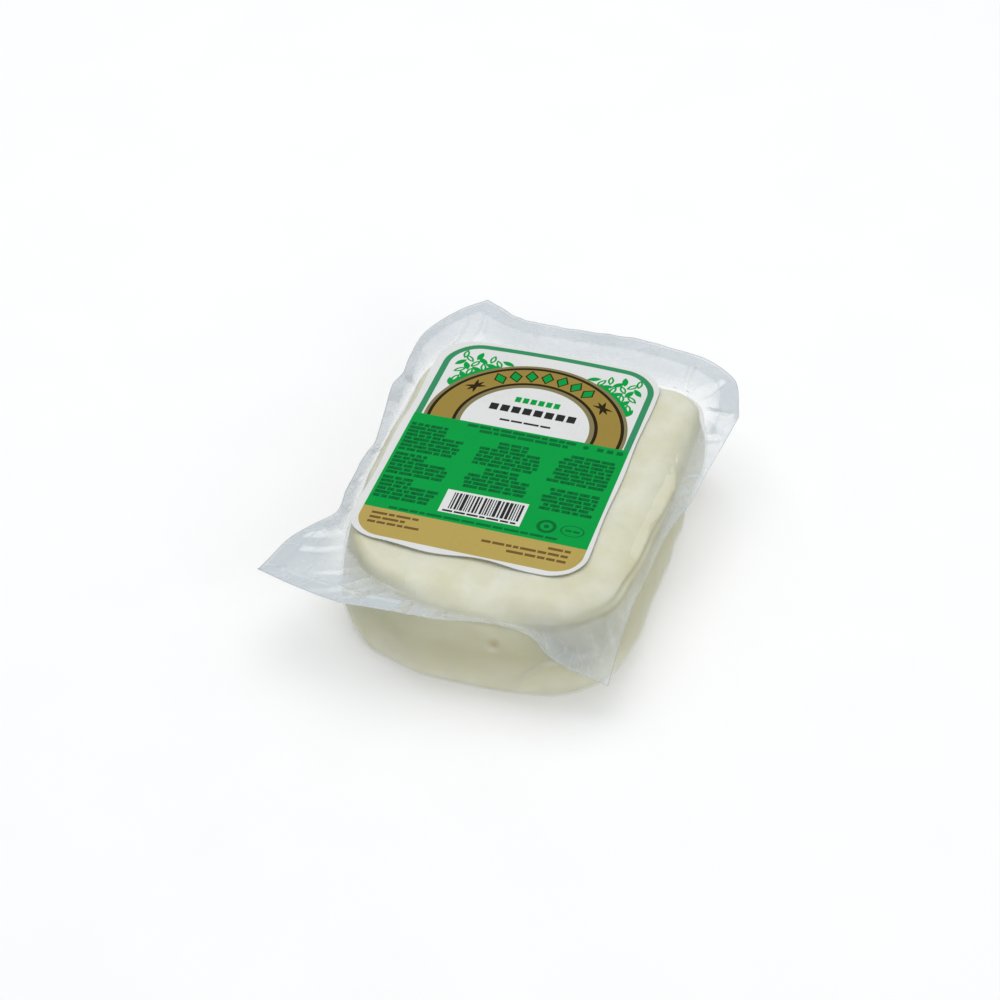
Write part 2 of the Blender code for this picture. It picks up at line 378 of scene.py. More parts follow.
def ruffle(position, share, stretch):
    """How far the flange's sheet stands off its plain run: soft waves and the listed creases."""
    wave = 0.0
    for round_pack, across, place, part in WAVES:
        wave += noise.noise(Vector((position * round_pack, share * across, place))) * WAVE_HEIGHT * part
    total = wave * share**1.3
    for number, (root, edge, half_width, height, begin, end) in enumerate(CREASES):
        wander = CREASE_WANDER * noise.noise(Vector((share * 2.6, number * 3.7, 0.5)))
        centre = root + (edge - root) * share + wander
        away = abs((position - centre + 2) % 4 - 2) * stretch / half_width
        if away < 1:
            run = soft_step(begin - 0.05, begin + 0.25, share) * (1 - soft_step(end - 0.3, end + 0.05, share))
            total += height * run * (1 - away**2) ** 2
    return total + ROLL_HEIGHT * hump(position, ROLL_PLACE, ROLL_REACH) * math.sin(math.pi * share)


def web_half(share):
    """Half the distance between the two webs: apart at the root, sealed together further out."""
    return WEB_SEALED + (WEB_APART - WEB_SEALED) * (1 - soft_step(0.0, 0.6, share))


def seal_bead(share, length):
    """The raised lines where the sealed band begins, on a flange wide enough to show it, and at the edge."""
    bead = EDGE_BEAD * soft_step(0.94, 1.0, share)
    if length < SEAL_SHOWS_FROM:
        return bead
    away = abs((1 - share) * length - SEAL_WIDTH) / SEAL_BEAD_WIDTH
    return bead + (SEAL_BEAD * (1 - away) if away < 1 else 0.0)


def flange_cloud(position, share, length):
    """How cloudy one web of the flange looks."""
    cloud = CLOUD_FLANGE
    if length > SEAL_SHOWS_FROM:
        cloud += CLOUD_SEAL * soft_step(SEAL_WIDTH + 0.8, SEAL_WIDTH - 0.2, (1 - share) * length)
    for centre, reach, change in CLOUD_PLACES:
        cloud *= 1 + change * hump(position, centre, reach)
    return cloud + CLOUD_EDGE * soft_step(0.95, 1.0, share)


def section(position):
    """What a column is made from: how far in the flange's root lies, root, edge, normal and width."""
    root_in = wall_in(position, 1)
    root = raised(block_plan(position, root_in), BLOCK_HEIGHT - by_side(ROOT_DROP, position))
    edge = free_edge(position)
    out = edge - root
    flat = math.hypot(out.x, out.y)
    outward = Vector((out.x, out.y, 0)) / flat
    normal = (outward * -out.z + Vector((0, 0, flat))) / out.length
    return root_in, root, edge, normal, out.length


def film_column(position):
    """The film's points at one position, from the base's middle out and up to the top's middle, each with
    how loose the film is and how cloudy it looks there."""
    root_in, root, edge, normal, length = section(position)
    corner = max(hump(position, number, CORNER_REACH) for number in range(4))
    found = []

    base_ring = block_plan(position, BASE_IN)
    count = rows(FILM_ROWS, "floor")
    for step in range(1, count + 1):
        found.append((raised(base_ring * (step / (count + 1)), 0.0), 0.0, CLOUD_BASE))
    for share in shares_of(FILM_ROWS, "base", start=0):
        turn = math.pi / 2 * (1 - share)
        level = block_plan(position, base_in(position, turn))
        cloud = CLOUD_BASE + (CLOUD_WALL - CLOUD_BASE) * share
        found.append((raised(level, BASE_UP * (1 - math.sin(turn))), LOOSE_WALL * share, cloud))

    wall_top = root.z - 2 * WEB_APART
    for share in shares_of(FILM_ROWS, "wall", past=0):
        level = block_plan(position, wall_in(position, share))
        loose = LOOSE_WALL + (LOOSE_CORNER * corner + LOOSE_WALL_TOP) * share
        cloud = CLOUD_WALL + CLOUD_CORNER * corner * share
        found.append((raised(level, BASE_UP + (wall_top - BASE_UP) * share), loose, cloud))

    stretch = edge_stretch(position)
    over = []
    for even_share in shares_of(FILM_ROWS, "flange", start=0):
        share = even_share**ROW_CROWDING
        middle = root.lerp(edge, share) + normal * ruffle(position, share, stretch)
        half = normal * web_half(share)
        cloud = flange_cloud(position, share, length)
        found.append((middle - half, 0.0, cloud * soft_step(-0.1, 0.5, share)))
        over.append((middle + half + normal * seal_bead(share, length), 0.0, cloud))
    found += reversed(over)

    top_in, tent = by_side(TOP_IN, position), by_side(TENT, position)
    start, _, root_cloud = found[-1]
    for share in shares_of(FILM_ROWS, "shoulder"):
        level = block_plan(position, root_in + (top_in - root_in) * share)
        rise = math.sin(math.pi / 2 * share) * (1 - tent) + share * tent
        loose = (LOOSE_WALL + (1 - LOOSE_WALL) * corner) * (1 - share) ** 0.7
        cloud = CLOUD_TOP + (root_cloud - CLOUD_TOP) * (1 - share) ** 1.5
        found.append((raised(level, start.z + (BLOCK_HEIGHT - start.z) * rise), loose, cloud))
    rim = found[-1][0]
    for inward in shares_of(FILM_ROWS, "top", past=0):
        share = 1 - inward
        found.append((raised(rim * share, BLOCK_HEIGHT + CROWN * (1 - share**2)), 0.0, CLOUD_TOP))
    return found


def cheese_column(position):
    """The cheese's points at one position, from the base's middle out and up to the top's middle."""
    root_in, root = section(position)[:2]
    shrink = CORNER_SHRINK * max(hump(position, number, CORNER_SHRINK_REACH) for number in range(4))
    pinched = PINCH_DEPTH * hump(position, ROLL_PLACE, ROLL_REACH)
    found = []

    def add(inset, height):
        near_roll = clamp01(1 - abs(height - root.z) / PINCH_WIDTH)
        found.append(raised(block_plan(position, inset + pinched * near_roll**2), height))

    base_ring = block_plan(position, BASE_IN + CHEESE_GAP)
    count = rows(CHEESE_ROWS, "floor")
    for step in range(1, count + 1):
        found.append(raised(base_ring * (step / (count + 1)), CHEESE_GAP))
    for share in shares_of(CHEESE_ROWS, "base", start=0):
        turn = math.pi / 2 * (1 - share)
        height = CHEESE_GAP + (BASE_UP - CHEESE_GAP) * (1 - math.sin(turn))
        add(base_in(position, turn) + CHEESE_GAP + CORNER_SHRINK_FOOT * shrink, height)
    wall_top = root.z - by_side(CHEESE_DROP, position)
    for share in shares_of(CHEESE_ROWS, "wall"):
        shrunk = shrink * (CORNER_SHRINK_FOOT + (1 - CORNER_SHRINK_FOOT) * share)
        inset = wall_in(position, share) + CHEESE_GAP + shrunk
        add(inset, BASE_UP + (wall_top - BASE_UP) * share)
    side_in = root_in + CHEESE_GAP + shrink
    top_in = max(by_side(TOP_IN, position) + by_side(CHEESE_LEVEL, position), side_in + LEAST_ROUNDING)
    level_top = BLOCK_HEIGHT - CHEESE_GAP
    for share in shares_of(CHEESE_ROWS, "shoulder"):
        turn = math.pi / 2 * share
        inset = side_in + (top_in - side_in) * (1 - math.cos(turn))
        add(inset, wall_top + (level_top - wall_top) * math.sin(turn))
    rim = found[-1]
    for inward in shares_of(CHEESE_ROWS, "top", past=0):
        share = 1 - inward
        found.append(raised(rim * share, level_top + CROWN * (1 - share**2)))
    return found


def lofted(columns, bottom, top):
    """A closed mesh from equal columns of points side by side, with a middle point under and over them."""
    count, height = len(columns), len(columns[0])
    points = [point for points in columns for point in points] + [bottom, top]
    faces = []
    for i in range(count):
        here, there = i * height, (i + 1) % count * height
        for row in range(height - 1):
            faces.append((here + row, there + row, there + row + 1, here + row + 1))
        faces.append((count * height, there, here))
        faces.append((here + height - 1, there + height - 1, count * height + 1))
    mesh = bpy.data.meshes.new("lofted")
    mesh.from_pydata(points, [], faces)
    mesh.validate()
    return mesh


def stood(name, data):
    """A new object in the scene."""
    item = bpy.data.objects.new(name, data)
    bpy.context.scene.collection.objects.link(item)
    return item


def placed(name, mesh, material):
    """An object from a mesh in the block's frame and millimetres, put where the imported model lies."""
    mesh.transform(Matrix.Translation(PLACE * MM) @ Matrix.Scale(MM, 4))
    mesh.shade_smooth()
    item = stood(name, mesh)
    item.data.materials.append(material)
    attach(item, BODY)
    return item


def give_points(mesh, name, values):
    """One number for each point of a mesh, for its material to read."""
    mesh.attributes.new(name, "FLOAT", "POINT").data.foreach_set("value", values)


def under_label(point):
    """1 well inside the label's outline, 0 outside it."""
    inside_x = LABEL_HALF[0] - abs(point.x - LABEL_CENTRE[0])
    inside_y = LABEL_HALF[1] - abs(point.y - LABEL_CENTRE[1])
    return soft_step(-1.5, 1.5, min(inside_x, inside_y)) if point.z > BLOCK_HEIGHT - 3 else 0.0


def make_film(material):
    columns = [film_column(position) for position in positions(FILM_COLUMNS)]
    flat = [entry for column in columns for entry in column]
    mesh = lofted(
        [[entry[0] for entry in column] for column in columns],
        Vector((0, 0, 0)), Vector((0, 0, BLOCK_HEIGHT + CROWN)),
    )
    normals = [normal.vector.copy() for normal in mesh.vertex_normals]
    flange_from = 1 + rows(FILM_ROWS, "floor") + rows(FILM_ROWS, "base") + rows(FILM_ROWS, "wall") - 1
    flange_to = flange_from + 2 * (rows(FILM_ROWS, "flange") + 1)
    height = len(columns[0])
    for index, (point, loose, _) in enumerate(flat):
        row = index % height
        if flange_from <= row < flange_to or point.z <= 0:
            continue
        covered = under_label(point)
        lift = dents(point) * (1 - covered) * soft_step(0, 4, point.z)
        near_root = min(abs(row - flange_from + 1), abs(row - flange_to))
        lift *= soft_step(0, 4, near_root)
        lift += crinkle(point) * CRINKLE_HEIGHT * loose * (1 - covered)
        mesh.vertices[index].co = point + normals[index] * lift
    give_points(mesh, "cloud", [entry[2] for entry in flat] + [CLOUD_BASE, CLOUD_TOP])
    amounts = [hump(position, RIB_PLACE, RIB_REACH) for position in positions(FILM_COLUMNS)]
    on_flange = [flange_from <= row < flange_to for row in range(height)]
    give_points(mesh, "ribbed", [amount * on for amount in amounts for on in on_flange] + [0.0, 0.0])
    return placed("film_bag", mesh, material)


def make_cheese(material):
    columns = [cheese_column(position) for position in positions(CHEESE_COLUMNS)]
    mesh = lofted(
        columns, Vector((0, 0, CHEESE_GAP)), Vector((0, 0, BLOCK_HEIGHT - CHEESE_GAP + CROWN))
    )
    normals = [normal.vector.copy() for normal in mesh.vertex_normals]
    for vertex, normal in zip(mesh.vertices, normals):
        point = vertex.co.copy()
        lift = dents(point) * (1 - under_label(point)) * soft_step(0.5, 4, point.z)
        vertex.co = point + normal * (lift - MESH_INSET)
    give_points(mesh, "stain", [pit_share(point) for column in columns for point in column] + [0.0, 0.0])
    return placed("cheese_block", mesh, material)


# Paper label: centre, half sizes, corner radius, how high it lies over the film, and its thickness
LABEL_CENTRE = (-4.5, 5.7)
LABEL_HALF = (30.7, 43.9)
LABEL_RADIUS = 9.0
LABEL_GAP = 0.12
LABEL_THICKNESS = 0.22
LABEL_GRID = 2.0
LABEL_BOW = 1.2
LABEL_SPREAD = (39.0, 50.0)

# Print on the label
LINE_LEFT, LINE_RIGHT, LINE_TOP, LINE_WIDTH = -33.2, 25.2, 48.3, 1.7
LINE_RADIUS = 9.5
FIELD_TOP, FIELD_BASE_LEFT, FIELD_BASE_RIGHT = 14.8, -25.6, -26.5
BAND_BASE_LEFT, BAND_BASE_RIGHT, BAND_RADIUS = -35.9, -36.9, 7.5
ARCH_CENTRE = (-3.9, 16.8)
ARCH_RINGS = (
    (27.1, "print_tan"), (26.2, "print_brown"), (25.3, "print_gold"), (19.3, "print_brown"),
    (18.4, "print_tan"), (17.1, "label_paper_white"),
)
ARCH_STEPS = 120
SPRIG_FROM, SPRIG_TO, SPRIG_BAND = 30, 63, 1.1
CORNER_ARC_STEPS = 12
TEXT_SEED = 11
TEXT_PITCH, TEXT_HEIGHT = 1.55, 1.2
WORD_GAP = 0.4
STROKES_PER_MM, STROKE_WIDTH = 1.0, 0.28

# Leaves of a sprig on the arch's shoulder: degrees from the arch's top, height over the arch, lean in degrees
SPRIG_LEAVES = (
    (25, 1.3, 20), (30, 1.5, 60), (34.5, 1.3, 15), (39, 1.6, 75), (43, 1.4, 30), (47.5, 1.6, 100),
    (52, 1.4, 55), (57, 1.5, 110), (61, 1.2, 70), (32, 4.0, 95), (37, 4.3, 40), (41.5, 4.0, 120),
    (46, 4.4, 65), (50.5, 3.9, 140), (37, 6.6, 100), (42, 6.9, 45), (47, 6.7, 130), (42, 9.2, 90),
)
LEAF, LEAF_OPENING = (1.95, 0.85), (1.1, 0.3)

# Plain marks on the arch: lozenges with their degrees from the top, half sizes of both shapes, and leaf stars
LOZENGE_TURNS = (-33, -22, -11, 0, 11, 22, 33)
LOZENGE_RIM, LOZENGE_FACE = (2.7, 1.85), (2.05, 1.35)
STAR_TURN, STAR_LEANS, STAR_LEAF = 52, (-40, 0, 40), (3.0, 0.55)

# Rows of blocks: left, right, foot, height, how many, gap, ink
TITLE_BLOCKS = (
    (-9.5, 2.7, 26.6, 2.3, 6, 0.55, "print_green"),
    (-15.2, 8.3, 21.8, 2.8, 8, 0.75, "print_black"),
)
FIELD_BLOCKS = (17.0, 23.9, 12.2, 1.5, 3, 0.9, "print_dark_green")
OVAL_BLOCKS = (18.0, 21.6, -21.0, 0.7, 2, 0.4, "print_dark_green")

# Single lines of small print: left, right, foot, height
TITLE_LINE = (-11.0, 3.8, 17.8, 0.8)
FIELD_LINES = ((-18.2, 11.2, 12.8, TEXT_HEIGHT), (-14.5, 9.5, 11.1, TEXT_HEIGHT))
FIELD_DOT, FIELD_DOT_RADIUS = (14.0, 12.9), 0.8
LOW_LINE = (-27.0, 18.0, -25.1, 0.9)

# Lines on the gold band: (left, right) of each, the first one's foot, pitch, height
BAND_LEFT_LINES = (((-30.5, -18.0), (-30.5, -20.0), (-30.5, -17.0)), -28.0, 1.75, 0.9)
BAND_RIGHT_LINES = (((15.8, 21.6), (-0.8, 21.4), (6.2, 21.4)), -28.9, 2.0, 0.95)

# Barcode: its box as left, right, foot and head, its bars' and gaps' widths
BARCODE_BOX = (-14.8, 6.6, -22.7, -13.6)
BARCODE_BARS, BARCODE_GAPS = (0.28, 0.28, 0.45, 0.62, 0.85), (0.28, 0.28, 0.4, 0.6)

# Plain ring and plain oval: middle, and the radius or half length of each disc
RING_CENTRE = (13.1, -20.6)
RING_DISCS = ((2.55, "print_dark_green"), (1.6, "print_green"), (0.7, "print_dark_green"))
OVAL_CENTRE, OVAL_SQUASH = (19.8, -20.6), 0.7
OVAL_DISCS = ((3.1, "print_dark_green"), (2.75, "print_green"))
MARK_STEPS = 28

# Blocks of small print: left, right, top, lines, how many first lines are short, their width, alignment
TEXT_BLOCKS = (
    (-32.5, -16.5, 10.9, 8, 3, 10.0, "left"),
    (-32.5, -16.2, -2.2, 6, 2, 8.5, "left"),
    (-32.5, -16.2, -12.2, 6, 2, 8.0, "left"),
    (-12.5, 4.6, 9.0, 7, 2, 8.0, "middle"),
    (-12.5, 5.0, -2.4, 6, 2, 9.0, "middle"),
    (7.6, 23.4, 9.2, 8, 1, 12.0, "right"),
    (8.4, 22.9, -5.2, 6, 1, 13.0, "right"),
)


def turned_left(outline):
    """The outline in anticlockwise order."""
    area = sum(a[0] * b[1] - b[0] * a[1] for a, b in zip(outline, outline[1:] + outline[:1]))
    return outline if area > 0 else outline[::-1]


def box_outline(left, right, low, high):
    return [(left, low), (right, low), (right, high), (left, high)]


def disc(centre, radius, steps):
    turns = [2 * math.pi * step / steps for step in range(steps)]
    return [(centre[0] + radius * math.cos(turn), centre[1] + radius * math.sin(turn)) for turn in turns]


def leaned(centre, along, across, lean):
    """A point beside a centre, in axes that lean by an angle from X and Y."""
    return (
        centre[0] + along * math.cos(lean) - across * math.sin(lean),
        centre[1] + along * math.sin(lean) + across * math.cos(lean),
    )


def oval(centre, half_long, half_wide, lean, steps):
    """An ellipse whose long axis leans by an angle from the X axis."""
    turns = [2 * math.pi * step / steps for step in range(steps)]
    return [leaned(centre, half_long * math.cos(turn), half_wide * math.sin(turn), lean) for turn in turns]


def leaf(centre, half_long, half_wide, lean, steps=9):
    """A pointed leaf: two shallow arcs that meet at both tips."""
    found = []
    for sign in (1, -1):
        for step in range(steps):
            along = sign * (1 - 2 * step / steps)
            found.append(leaned(centre, along * half_long, sign * half_wide * (1 - along**2), lean))
    return found


def rounded(corners):
    """An outline with a round corner of the given radius at each (x, y, radius)."""
    found = []
    count = len(corners)
    for i, (x, y, radius) in enumerate(corners):
        here = Vector((x, y))
        back = (Vector(corners[i - 1][:2]) - here).normalized()
        ahead = (Vector(corners[(i + 1) % count][:2]) - here).normalized()
        if radius == 0:
            found.append((x, y))
            continue
        half_turn = back.angle(ahead) / 2
        reach = radius / math.tan(half_turn)
        centre = here + (back + ahead).normalized() * (radius / math.sin(half_turn))
        start = (here + back * reach - centre).normalized()
        end = (here + ahead * reach - centre).normalized()
        for step in range(CORNER_ARC_STEPS + 1):
            found.append(tuple(centre + radius * start.slerp(end, step / CORNER_ARC_STEPS)))
    return found


def finely(outline):
    """The outline with more points along its long sides."""
    found = []
    for a, b in zip(outline, outline[1:] + outline[:1]):
        a, b = Vector(a), Vector(b)
        pieces = max(1, round((b - a).length / LABEL_GRID))
        found += [a.lerp(b, k / pieces) for k in range(pieces)]
    return found


def bowed(point):
    """A point of the sheet, lifted where the label's back edge arches over the block."""
    x, y = point
    away = (x - LABEL_CENTRE[0]) / LABEL_HALF[0]
    return (x, y + LABEL_BOW * (1 - away**2) * soft_step(34, 47, y))


def label_outline():
    """The label's outline: rounded corners and a slightly wavy edge."""
    (cx, cy), (hx, hy), radius = LABEL_CENTRE, LABEL_HALF, LABEL_RADIUS
    plain = rounded([
        (cx - hx, cy - hy, radius), (cx + hx, cy - hy, radius),
        (cx + hx, cy + hy, radius), (cx - hx, cy + hy, radius),
    ])
    wavy = []
    for point in [Vector(bowed(point)) for point in finely(plain)]:
        front = soft_step(-28, -36, point.y)
        shift = 0.55 * math.sin((point.x + 6) / 4.3) * front
        shift += 1.1 * front * (0.3 - soft_step(14, 26, point.x) * 0.8 + soft_step(-20, -34, point.x) * 0.5)
        side = 0.22 * math.sin(point.y / 5.1 + 0.8)
        wavy.append((point.x + side * (1 if point.x > cx else -1), point.y + shift))
    return wavy


class Print:
    """What is painted on the label: outlines with their inks, later ones over earlier ones."""

    def __init__(self):
        self.shapes = []
        self.chance = random.Random(TEXT_SEED)

    def paint(self, outline, ink):
        self.shapes.append((turned_left([tuple(point) for point in outline]), ink))

    def text_line(self, left, right, low, height, ink, stroke_ink=None):
        """A line of small print, as plain bars of uneven length."""
        x = left
        while x < right - 0.9:
            word = min(self.chance.uniform(1.3, 4.4), right - x)
            self.paint(box_outline(x, x + word, low, low + height), ink)
            for _ in range(int(word * STROKES_PER_MM) if stroke_ink else 0):
                start = x + self.chance.uniform(0, word - STROKE_WIDTH)
                foot = low + height * self.chance.choice((0.0, 0.0, 0.3))
                self.paint(box_outline(start, start + STROKE_WIDTH, foot, foot + height * 0.7), stroke_ink)
            x += word + WORD_GAP

    def text_block(self, left, right, top, lines, short_lines, short_width, align):
        for line in range(lines):
            width = short_width if line < short_lines else right - left - self.chance.uniform(0, 2.2)
            start = {"left": left, "middle": (left + right - width) / 2, "right": right - width}[align]
            low = top - TEXT_PITCH * (line + 1)
            self.text_line(start, start + width, low, TEXT_HEIGHT, "print_dark_green", "print_deep_green")

    def blocks(self, left, right, low, height, count, gap, ink):
        """A row of plain blocks of equal width."""
        width = (right - left + gap) / count - gap
        for number in range(count):
            x = left + number * (width + gap)
            self.paint(box_outline(x, x + width, low, low + height), ink)


def paint_frame_line(sheet):
    """The green line round the label's upper part."""
    for inset, ink in ((0.0, "print_line_green"), (LINE_WIDTH, "label_paper_white")):
        left, right, top = LINE_LEFT + inset, LINE_RIGHT - inset, LINE_TOP - inset
        low = FIELD_TOP - 2
        radius = LINE_RADIUS - inset
        corners = [(left, low, 0), (right, low, 0), (right, top, radius), (left, top, radius)]
        sheet.paint([bowed(point) for point in finely(rounded(corners))], ink)


def ring_point(angle, radius):
    """A point round the arch's middle."""
    return (ARCH_CENTRE[0] + radius * math.cos(angle), ARCH_CENTRE[1] + radius * math.sin(angle))


def arch_point(turn, rise):
    """A point over the arch: degrees from its top, and height over its outer ring."""
    return ring_point(math.radians(90 - turn), ARCH_RINGS[0][0] + rise)


def paint_sprigs(sheet):
    """A sprig of leaves in each upper corner, on the arch's shoulders."""
    for side in (-1, 1):
        outer = [arch_point(side * turn, SPRIG_BAND) for turn in range(SPRIG_FROM, SPRIG_TO + 1, 3)]
        inner = [arch_point(side * turn, -1.0) for turn in range(SPRIG_TO, SPRIG_FROM - 1, -3)]
        sheet.paint(outer + inner, "print_green")
        for number, (turn, rise, lean) in enumerate(SPRIG_LEAVES):
            centre = arch_point(side * turn, rise)
            tilt = math.radians(lean if side > 0 else 180 - lean)
            sheet.paint(leaf(centre, *LEAF, tilt), "print_green")
            if number % 2:
                sheet.paint(leaf(centre, *LEAF_OPENING, tilt), "label_paper_white")


def paint_arch(sheet):
    """The gold arch with its dark rings, and the plain marks on it."""
    for radius, ink in ARCH_RINGS:
        sheet.paint(disc(ARCH_CENTRE, radius, ARCH_STEPS), ink)
    middle = (ARCH_RINGS[2][0] + ARCH_RINGS[3][0]) / 2
    for turn in LOZENGE_TURNS:
        angle = math.radians(90 - turn)
        centre = ring_point(angle, middle)
        sheet.paint(oval(centre, *LOZENGE_RIM, angle, 4), "print_brown")
        sheet.paint(oval(centre, *LOZENGE_FACE, angle, 4), "print_green")
    for side in (-1, 1):
        angle = math.radians(90 - side * STAR_TURN)
        centre = ring_point(angle, middle)
        for lean in STAR_LEANS:
            sheet.paint(leaf(centre, *STAR_LEAF, angle + math.radians(90 + lean)), "print_brown")


def paint_titles(sheet):
    """Rows of plain blocks, and a line of bars, in the white half disc."""
    for row in TITLE_BLOCKS:
        sheet.blocks(*row)
    sheet.text_line(*TITLE_LINE, "print_black")


def paint_fields(sheet):
    """The green field and the gold band under it."""
    left, right = LINE_LEFT - 0.1, LINE_RIGHT
    field = [(left, FIELD_BASE_LEFT), (right, FIELD_BASE_RIGHT), (right, FIELD_TOP), (left, FIELD_TOP)]
    sheet.paint(field, "print_green")
    sheet.paint(rounded([
        (left, BAND_BASE_LEFT, BAND_RADIUS), (right, BAND_BASE_RIGHT, BAND_RADIUS),
        (right, FIELD_BASE_RIGHT, 0), (left, FIELD_BASE_LEFT, 0),
    ]), "print_gold_light")


def paint_small_print(sheet):
    ink = "print_dark_green"
    for row in FIELD_LINES:
        sheet.text_line(*row, ink)
    sheet.blocks(*FIELD_BLOCKS)
    sheet.paint(disc(FIELD_DOT, FIELD_DOT_RADIUS, 16), ink)
    for block in TEXT_BLOCKS:
        sheet.text_block(*block)
    sheet.text_line(*LOW_LINE, ink)
    for ends, foot, pitch, height in (BAND_LEFT_LINES, BAND_RIGHT_LINES):
        for line, (left, right) in enumerate(ends):
            sheet.text_line(left, right, foot - pitch * line, height, "print_brown_text")


def paint_barcode(sheet):
    """A white box with plain dark bars of uneven width."""
    left, right, low, high = BARCODE_BOX
    sheet.paint(box_outline(left, right, low, high), "label_paper_white")
    x = left + 2.1
    while x < right - 1.4:
        bar = sheet.chance.choice(BARCODE_BARS)
        sheet.paint(box_outline(x, x + bar, low + 1.7, high - 0.8), "print_black")
        x += bar + sheet.chance.choice(BARCODE_GAPS)
    sheet.text_line(left + 1.0, right - 1.2, low + 0.45, 0.7, "print_black")


def paint_marks(sheet):
    """A plain ring and a plain oval near the lower right."""
    for radius, ink in RING_DISCS:
        sheet.paint(disc(RING_CENTRE, radius, MARK_STEPS), ink)
    for half, ink in OVAL_DISCS:
        sheet.paint(oval(OVAL_CENTRE, half, half * OVAL_SQUASH, 0.0, MARK_STEPS), ink)
    sheet.blocks(*OVAL_BLOCKS)


def label_height(x, y):
    """The underside of the label over a point."""
    share = math.hypot(x / LABEL_SPREAD[0], y / LABEL_SPREAD[1])
    inside = min(LABEL_HALF[0] - abs(x - LABEL_CENTRE[0]), LABEL_HALF[1] - abs(y - LABEL_CENTRE[1]))
    rim = 1 - soft_step(0, 5, inside)
    front = soft_step(-26, -38, y)
    ripple = 0.16 * rim * (1 + math.sin(x / 3.6 + 1.0)) * front
    ripple += 0.10 * rim * (1 + math.sin(y / 5.5)) * (1 - front)
    return BLOCK_HEIGHT + CROWN * (1 - share**2) + LABEL_GAP + ripple


def make_label(inks):
    """The label as one closed sheet. Its upper side is cut along every printed outline, and each face takes
    the ink painted there last."""
    sheet = Print()
    edge = label_outline()
    sheet.paint(edge, "label_paper_white")
    paint_frame_line(sheet)
    paint_sprigs(sheet)
    paint_arch(sheet)
    paint_titles(sheet)
    paint_fields(sheet)
    paint_small_print(sheet)
    paint_barcode(sheet)
    paint_marks(sheet)

    points, loops = [], []
    for outline, _ in sheet.shapes:
        loops.append(list(range(len(points), len(points) + len(outline))))
        points += [Vector(point) for point in outline]
    (cx, cy), (hx, hy) = LABEL_CENTRE, LABEL_HALF
    for i in range(int(2 * hx / LABEL_GRID)):
        for j in range(int(2 * hy / LABEL_GRID)):
            points.append(Vector((cx - hx + (i + 0.5) * LABEL_GRID, cy - hy + (j + 0.37) * LABEL_GRID)))
    flat, _, faces, _, _, origins = geometry.delaunay_2d_cdt(points, [], loops, 0, 1e-5)
    kept = [(face, max(origin)) for face, origin in zip(faces, origins) if origin]

    used = sorted({index for face, _ in kept for index in face})
    number = {index: place for place, index in enumerate(used)}
    lows = [Vector((flat[i].x, flat[i].y, label_height(flat[i].x, flat[i].y))) for i in used]
    highs = [point + Vector((0, 0, LABEL_THICKNESS)) for point in lows]
    count = len(used)
    upper = [tuple(number[i] + count for i in face) for face, _ in kept]
    lower = [tuple(number[i] for i in reversed(face)) for face, _ in kept]
    sides = {(a, b) for face in upper for a, b in zip(face, face[1:] + face[:1])}
    rims = [(b, a, a - count, b - count) for a, b in sides if (b, a) not in sides]
    mesh = bpy.data.meshes.new("label_sheet")
    mesh.from_pydata(lows + highs, [], upper + lower + rims)
    names = list(inks)
    slots = [names.index(sheet.shapes[origin][1]) for _, origin in kept]
    plain = names.index("label_paper_white")
    item = placed("paper_label", mesh, inks[names[0]])
    for name in names[1:]:
        mesh.materials.append(inks[name])
    mesh.polygons.foreach_set("material_index", slots + [plain] * (len(lower) + len(rims)))
    mesh.set_sharp_from_angle(angle=math.radians(50))
    return item


def new_material(name):
    material = bpy.data.materials.new(name)
    material.use_nodes = True
    return material, material.node_tree, material.node_tree.nodes["Principled BSDF"]


def link(tree, source, target):
    tree.links.new(source, target)


def object_coordinates(tree, stretch=(1, 1, 1)):
    coordinates = tree.nodes.new("ShaderNodeTexCoord")
    mapping = tree.nodes.new("ShaderNodeMapping")
    mapping.inputs["Scale"].default_value = stretch
    link(tree, coordinates.outputs["Object"], mapping.inputs["Vector"])
    return mapping.outputs["Vector"]


def noise_of(tree, size, detail=3.0, roughness=0.5, stretch=(1, 1, 1)):
    """A noise pattern whose features are about the given size in millimetres."""
    node = tree.nodes.new("ShaderNodeTexNoise")
    node.inputs["Scale"].default_value = 1 / (size * MM)
    node.inputs["Detail"].default_value = detail
    node.inputs["Roughness"].default_value = roughness
    link(tree, object_coordinates(tree, stretch), node.inputs["Vector"])
    return node.outputs["Fac"]


def ranged(tree, value, low, high, to_low, to_high):
    node = tree.nodes.new("ShaderNodeMapRange")
    for socket, number in (("From Min", low), ("From Max", high), ("To Min", to_low), ("To Max", to_high)):
        node.inputs[socket].default_value = number
    link(tree, value, node.inputs["Value"])
    return node.outputs["Result"]


def worked(tree, operation, first, second):
    """A maths node of two values, each a socket or a number."""
    node = tree.nodes.new("ShaderNodeMath")
    node.operation = operation
    for socket, value in zip(node.inputs, (first, second)):
        if isinstance(value, (int, float)):
            socket.default_value = value
        else:
            link(tree, value, socket)
    return node.outputs[0]


def mixed(tree, share, first, second):
    """A mix of two colours, each a socket or a colour."""
    node = tree.nodes.new("ShaderNodeMix")
    node.data_type = "RGBA"
    link(tree, share, node.inputs["Factor"])
    for socket, value in ((node.inputs[6], first), (node.inputs[7], second)):
        if isinstance(value, tuple):
            socket.default_value = (*value, 1.0)
        else:
            link(tree, value, socket)
    return node.outputs[2]


def bumped(tree, shader, height, distance, strength):
    node = tree.nodes.new("ShaderNodeBump")
    node.inputs["Distance"].default_value = distance * MM
    node.inputs["Strength"].default_value = strength
    link(tree, height, node.inputs["Height"])
    link(tree, node.outputs["Normal"], shader.inputs["Normal"])


